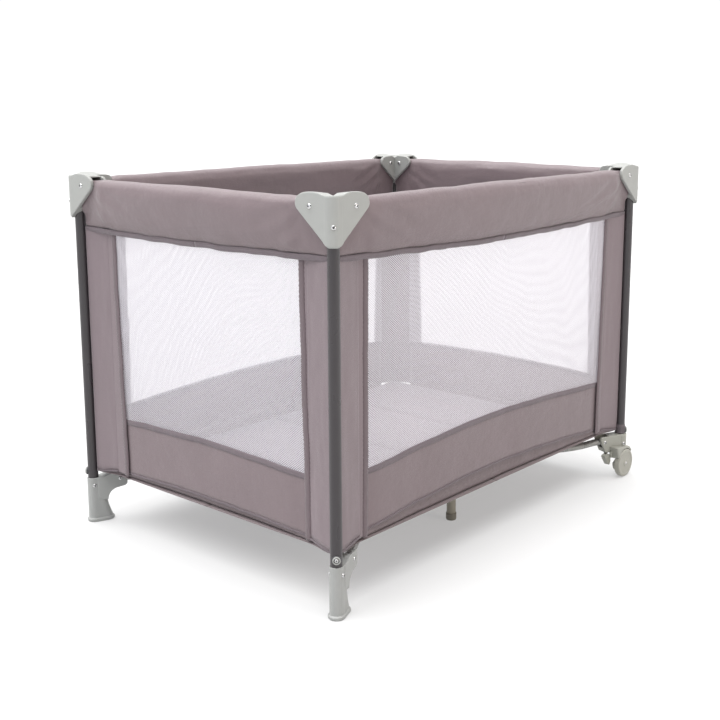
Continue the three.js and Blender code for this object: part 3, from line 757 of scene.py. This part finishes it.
for side, info in SIDES.items():
    rings = []
    for s in sleeve_stations(side):
        rings.append([on_side(side, s, o, z) for o, z in sleeve_profile(side, s)])
    whole = grid(f"sleeve_whole_{side}", rings, FABRIC, wrap=True)
    close_ends(whole, PROFILE)

    direction, half_length = np.array(along(side)), info["half"] * MM

    def held(co):
        t = half_length - abs(float(co @ direction))
        near_cap = 1.0 if t < 0.078 else 0.0
        hem = 1.0 if co[2] < 0.646 else 0.0
        return max(near_cap, hem)

    swell(whole, 2.5, 3.0, held)

    hem_rows = []
    for k in range(9):
        row = []
        for s in spaced(-info["half"] + SLEEVE_END, info["half"] - SLEEVE_END, 6):
            t = info["half"] - abs(s)
            low = hem_bottom(side, s)
            a = math.pi * k / 8
            wave = 0.5 * math.sin(s * 2 * math.pi / 13)
            inner_fold = math.sin(a)
            z = low + HEM * (1 - inner_fold)
            centre = -6.0 - 1.0 * smooth_step(t, 20, 90)
            thick = 3.6 + 1.4 * smooth_step(t, 30, 100) + wave * 0.5
            row.append(on_side(side, s, centre + thick * math.cos(a), z))
        hem_rows.append(row)
    hem_whole = grid(f"sleeve_hem_whole_{side}", hem_rows, HEM_LOOK)

    for end, negative in (("a", True), ("b", False)):
        half = cut_at(whole, side, negative)
        half.name = f"sleeve_{side}_{end}"
        tape = cut_at(hem_whole, side, negative)
        tape.name = f"sleeve_hem_{side}_{end}"
        thicken(tape, 1.2)
        for piece in (half, tape):
            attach(piece, f"rail_{side}_{end}")
            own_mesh(piece)
        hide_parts(f"sleeve_{side}")
    bpy.data.objects.remove(whole)
    bpy.data.objects.remove(hem_whole)


# ---------- floor cloth ----------

FOOT_ANGLE = math.radians(22)       # a foot's inner arm in plan, from the X axis


def wall_gap(t):
    """How far inside the line of posts the cloth wall stands, t millimetres from a post axis."""
    return 13.4 - 10 * (1 - smooth_step(t, 14, STRIP_END))


def floor_point(sx, sy, share_x, share_y):
    """A point of the floor cloth, from the middle of the pen (0, 0) to a corner post (1, 1)."""
    x = share_x * (POST_X - wall_gap(POST_Y * (1 - share_y)))
    y = share_y * (POST_Y - wall_gap(POST_X * (1 - share_x)))
    from_post = Vector((POST_X - x, POST_Y - y))
    if from_post.length < HUG_R:    # it passes round the post
        from_post *= HUG_R / from_post.length
        x, y = POST_X - from_post.x, POST_Y - from_post.y
    lifted = 1 - smooth_step(min(POST_X - x, POST_Y - y), 24, 70)
    z = FLOOR_CLOTH_Z + 0.5 * ripple(x / 60, y / 60, 31)
    z += (FLOOR_EDGE_Z - z) * lifted
    return Vector((sx * x, sy * y, z)) * MM


for corner, (sx, sy) in CORNERS.items():
    lines = []
    for share_x in spaced(0, 1, 1 / 40):
        lines.append([floor_point(sx, sy, share_x, share_y) for share_y in spaced(0, 1, 1 / 30)])
    quarter = grid(f"floor_{corner}", lines, UNDER)
    thicken(quarter, 1.2)
    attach(quarter, f"arm_{corner}")
    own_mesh(quarter)
    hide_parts("floor_fabric")


# ---------- mattress ----------

def pad_shape(name, x0, x1, y0, y1, z0, z1, look):
    """A closed pad with rounded corners and edges."""
    radius = 9.0
    middle_x, middle_y = (x0 + x1) / 2, (y0 + y1) / 2
    half_x, half_y = (x1 - x0) / 2, (y1 - y0) / 2
    rings = []
    levels = 10
    for k in range(levels + 1):
        a = -math.pi / 2 + math.pi * k / levels
        inset = (z1 - z0) / 2 * (1 - math.cos(a)) * 0.9
        z = (z0 + z1) / 2 + (z1 - z0) / 2 * math.sin(a)
        ring = []
        for quarter in range(4):
            cx = (half_x - radius - inset) * (1 if quarter in (0, 3) else -1)
            cy = (half_y - radius - inset) * (1 if quarter in (0, 1) else -1)
            for j in range(5):
                b = math.pi / 2 * (quarter + j / 4)
                x, y = cx + radius * math.cos(b), cy + radius * math.sin(b)
                ring.append(Vector((middle_x + x, middle_y + y, z)) * MM)
        rings.append(ring)
    pad = grid(name, rings, look, wrap=True)
    close_ends(pad, 20)
    return pad


MATTRESS_LENGTH = 950
PANEL = MATTRESS_LENGTH / 4
PAD_X, PAD_Y = PANEL / 2 - 1.4, 329
template = pad_shape("pad_template", -PAD_X, PAD_X, -PAD_Y, PAD_Y, 109.8, 126.0, PAD)
def low_side(co):
    return 1.0 if co[2] < 0.1125 else 0.0
swell(template, 3.0, 2.4, low_side, voxel=6, frames=16)
template.data.shade_smooth()

for number in range(1, 5):
    pad = template.copy()
    pad.data = template.data.copy()
    scene.collection.objects.link(pad)
    pad.name = f"mattress_pad_{number}"
    flip = 1 if number % 2 else -1
    pad.data.transform(Matrix.Diagonal((flip, flip, 1, 1)))
    middle = -MATTRESS_LENGTH / 2 + PANEL * (number - 0.5)
    pad.data.transform(Matrix.Translation((middle * MM, 0, 0)))
    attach(pad, f"mattress_panel_{number}")
    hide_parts(f"mattress_panel_{number}")
bpy.data.objects.remove(template)

STRAP_X0, STRAP_X1, STRAP_Y, STRAP_Z = -465, -247.5, 15, 108.8
rows = []
for x in spaced(STRAP_X0, STRAP_X1, 6):
    row = []
    for y in spaced(-STRAP_Y, STRAP_Y, 3):
        row.append(Vector((x, y, STRAP_Z + 0.15 * ripple(x / 30, y / 30, 41))) * MM)
    rows.append(row)
strap = grid("mattress_webbing", rows, WEBBING)
thicken(strap, 0.9)
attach(strap, "mattress_panel_1")  # sewn to the lower side of the first pad
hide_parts("mattress_strap")


# ---------- screws, rivets and collars ----------

def turned(profile, at, axis):
    """Rings of (radius, height) points about an axis, as vertices and faces."""
    segments = 20
    axis = Vector(axis).normalized()
    turn = axis.to_track_quat("Z", "Y").to_matrix()
    vertices, faces = [], []
    for radius, height in profile:
        for k in range(segments):
            a = 2 * math.pi * k / segments
            spot = Vector((radius * math.cos(a), radius * math.sin(a), height))
            vertices.append((Vector(at) + turn @ spot) * MM)
    for r in range(len(profile) - 1):
        for k in range(segments):
            j = (k + 1) % segments
            faces.append((r * segments + k, r * segments + j, (r + 1) * segments + j, (r + 1) * segments + k))
    faces.append(tuple(reversed(range(segments))))
    faces.append(tuple(range((len(profile) - 1) * segments, len(profile) * segments)))
    return vertices, faces


def fixings(name, items, look, body):
    """Several turned pieces as one object that rides on a body."""
    vertices, faces = [], []
    for profile, at, axis in items:
        more, their = turned(profile, at, axis)
        shift = len(vertices)
        vertices += more
        faces += [tuple(i + shift for i in face) for face in their]
    made = make(name, vertices, faces, look)
    made.data.set_sharp_from_angle(angle=math.radians(40))
    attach(made, body)
    return made


# RIVET_EYE, SLOT, BOSS_WELL, BOSS_RING and BOSS_SLOT are dark discs and rings of painted shade in holes,
# slots and the boss's well, and where the boss meets the post.
RIVET = [(5.2, -0.6), (5.2, 0.3), (4.6, 1.3), (3.3, 2.1), (1.6, 2.6), (0.5, 2.7)]
RIVET_EYE = [(1.7, 2.2), (1.7, 2.9), (1.2, 3.0), (0.6, 2.8)]
SCREW = [(4.4, -0.6), (4.4, 0.4), (3.7, 1.3), (2.4, 1.8), (1.0, 1.9), (0.4, 1.9)]
SLOT = [(1.9, 1.2), (1.9, 1.95), (1.3, 2.0), (0.5, 1.98)]
BOSS = [(7.4, -6), (7.4, 2.8), (6.8, 3.8), (6.0, 4.1), (5.2, 3.6), (5.0, 2.0), (0.5, 2.0)]
BOSS_WELL = [(4.95, 1.6), (4.95, 2.5), (0.5, 2.5)]
BOSS_RING = [(8.5, -5), (8.5, 0.6), (7.9, 1.2), (7.0, 1.2)]
WHEEL_PIN = [(3.4, -0.8), (3.4, 0.5), (2.6, 1.2), (0.5, 1.5)]
BOSS_SCREW = [(3.6, 2.2), (3.6, 3.3), (3.0, 4.0), (1.8, 4.4), (0.5, 4.5)]
BOSS_SLOT = [(1.3, 4.2), (1.3, 4.6), (0.9, 4.65), (0.5, 4.6)]

for corner, (sx, sy) in CORNERS.items():
    body = f"post_{corner}"
    px, py = sx * POST_X, sy * POST_Y
    bright, painted_shade = [], []
    for outward in (1, -1):
        for t_axis in ("x", "y"):
            if t_axis == "x":
                at = (px - sx * 36, py + sy * 20 * outward, RAIL_Z)
                axis = (0, sy * outward, 0)
            else:
                at = (px + sx * 20 * outward, py - sy * 36, RAIL_Z)
                axis = (sx * outward, 0, 0)
            bright.append((RIVET, at, axis))
            painted_shade.append((RIVET_EYE, at, axis))
    diagonal = (sx / math.sqrt(2), sy / math.sqrt(2), 0)
    at = (px + 20 * diagonal[0], py + 20 * diagonal[1], 699)
    bright.append((SCREW, at, diagonal))
    painted_shade.append((SLOT, at, diagonal))
    boss_at = (px + 11.5 * diagonal[0], py + 11.5 * diagonal[1], 113)
    painted_shade += [(BOSS_RING, boss_at, diagonal), (BOSS_WELL, boss_at, diagonal)]
    toward = (-sx * math.cos(FOOT_ANGLE), -sy * math.sin(FOOT_ANGLE), 0)
    across = (toward[1], -toward[0], 0)
    for hand in (1, -1):
        axis = (across[0] * hand, across[1] * hand, 0)
        at = (px + 55 * toward[0] + 14 * axis[0], py + 55 * toward[1] + 14 * axis[1], 91)
        bright.append((SCREW, at, axis))
        painted_shade.append((SLOT, at, axis))
        radius = 13 if sx < 0 else 16
        at = (px + radius * axis[0], py + radius * axis[1], 82)
        bright.append((SCREW, at, axis))
        painted_shade.append((SLOT, at, axis))
    bright.append((BOSS_SCREW, boss_at, diagonal))
    painted_shade.append((BOSS_SLOT, boss_at, diagonal))
    fixings(f"fixings_{corner}", bright, STEEL, body)
    # Painted shade: dark discs in the rivet eyes, the screw slots, the boss's well and round the boss.
    fixings(f"fixing_painted_shade_{corner}", painted_shade, RECESS_SHADE, body)
    boss = fixings(f"boss_{corner}", [(BOSS, boss_at, diagonal)], CAP_LOOK, body)
    if sx > 0:
        ribs = [(11.1, 105), (12.2, 105)]
        for k in range(4):
            base = 105.5 + 4.5 * k
            ribs += [(12.3, base), (12.9, base + 1), (12.9, base + 2.6), (12.0, base + 3.6)]
        ribs += [(11.9, 126), (11.1, 127.5)]
        fixings(f"collar_{corner}", [(ribs, (px, py, 0), (0, 0, 1))], COLLAR_LOOK, body)
        pin = (WHEEL_PIN, (px - 5, py + sy * 22, 34), (0, sy, 0))
        fixings(f"wheel_pin_{corner}", [pin], STEEL, f"wheel_{corner}")


# ---------- CAD nodes that stay ----------

for corner, (sx, sy) in CORNERS.items():
    dress(POST_LOOK, f"post_{corner}")
    dress(CAP_LOOK, f"cap_{corner}")
    dress(TUBE_LOOK, f"arm_{corner}")
    if sx < 0:
        dress(FOOT_LOOK, f"boot_{corner}")
    else:
        dress(BRACKET_LOOK, f"bracket_{corner}", f"brake_{corner}")
        dress(WHEEL_LOOK, f"wheel_{corner}")
        dress(TUBE_LOOK, f"axle_{corner}")
for side in SIDES:
    dress(TUBE_LOOK, f"rail_{side}_a", f"rail_{side}_b")
    dress(LATCH_LOOK, f"latch_{side}")
    dress(BUTTON_LOOK, f"button_{side}")
dress(LATCH_LOOK, "hub")
dress(LEG_LOOK, "leg_front", "leg_rear")
dress(RUBBER, "leg_foot_front", "leg_foot_rear")


# ---------- floor, light and world ----------

def stage_floor():
    look = Look("paper_floor")
    look.set(Base_Color=(0.38, 0.38, 0.38, 1), Roughness=0.9, Specular_IOR_Level=0.1)
    look.set(Emission_Color=(1, 1, 1, 1), Emission_Strength=0.36)
    size = 45
    floor = make("paper_floor", [(-size, -size, 0), (size, -size, 0), (size, size, 0), (-size, size, 0)],
                 [(0, 1, 2, 3)], look.material, smooth=False)
    floor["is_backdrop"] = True


def area_light(name, at, target, size, power, colour):
    data = bpy.data.lights.new(name, "AREA")
    data.shape, data.size, data.energy, data.color = "DISK", size, power, colour
    made = bpy.data.objects.new(name, data)
    scene.collection.objects.link(made)
    made.location = at
    made.rotation_euler = (Vector(target) - Vector(at)).to_track_quat("-Z", "Y").to_euler()


stage_floor()
world = bpy.data.worlds.new("studio")
scene.world = world
world.use_nodes = True


DIM_ROOM = 0.17                     # brightness of the room behind the camera


def studio_world(tree):
    """A bright white cyclorama behind the pen, a low white wall all round, and a dim room above it."""
    ahead = Vector((math.sin(CAMERA_YAW), math.cos(CAMERA_YAW), 0))
    coords = tree.nodes.new("ShaderNodeTexCoord")
    dot = tree.nodes.new("ShaderNodeVectorMath")
    dot.operation = "DOT_PRODUCT"
    dot.inputs[1].default_value = ahead
    tree.links.new(coords.outputs["Generated"], dot.inputs[0])
    share = tree.nodes.new("ShaderNodeMapRange")
    share.interpolation_type = "SMOOTHSTEP"
    share.inputs["From Min"].default_value = -0.35
    share.inputs["From Max"].default_value = 0.45
    tree.links.new(dot.outputs["Value"], share.inputs["Value"])
    parts = tree.nodes.new("ShaderNodeSeparateXYZ")
    tree.links.new(coords.outputs["Generated"], parts.inputs[0])
    low_wall = tree.nodes.new("ShaderNodeMapRange")
    low_wall.interpolation_type = "SMOOTHSTEP"
    low_wall.inputs["From Min"].default_value = 0.12
    low_wall.inputs["From Max"].default_value = 0.06
    tree.links.new(parts.outputs[2], low_wall.inputs["Value"])
    most = tree.nodes.new("ShaderNodeMath")
    most.operation = "MAXIMUM"
    tree.links.new(share.outputs[0], most.inputs[0])
    tree.links.new(low_wall.outputs[0], most.inputs[1])
    mix = tree.nodes.new("ShaderNodeMix")
    mix.data_type = "RGBA"
    mix.inputs[6].default_value = (DIM_ROOM, DIM_ROOM, DIM_ROOM, 1)
    mix.inputs[7].default_value = (1.04, 1.04, 1.04, 1)
    tree.links.new(most.outputs[0], mix.inputs[0])
    tree.links.new(mix.outputs[2], tree.nodes["Background"].inputs[0])


def sun_light(name, towards, power, spread):
    data = bpy.data.lights.new(name, "SUN")
    data.energy, data.angle = power, math.radians(spread)
    made = bpy.data.objects.new(name, data)
    scene.collection.objects.link(made)
    made.rotation_euler = Vector(towards).to_track_quat("-Z", "Y").to_euler()


studio_world(world.node_tree)
sun_light("ceiling", (0.20, -0.10, -1), 6.0, 80)
area_light("left_window", (-3.6, 0.4, 1.5), (0, 0, 0.4), 1.6, 18, (0.88, 0.91, 1.0))
area_light("front_window", (0.6, -3.6, 1.5), (0, 0, 0.4), 1.6, 35, (1.0, 0.89, 0.81))
scene.view_settings.view_transform = "Standard"


bpy.context.view_layer.update()
low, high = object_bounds()
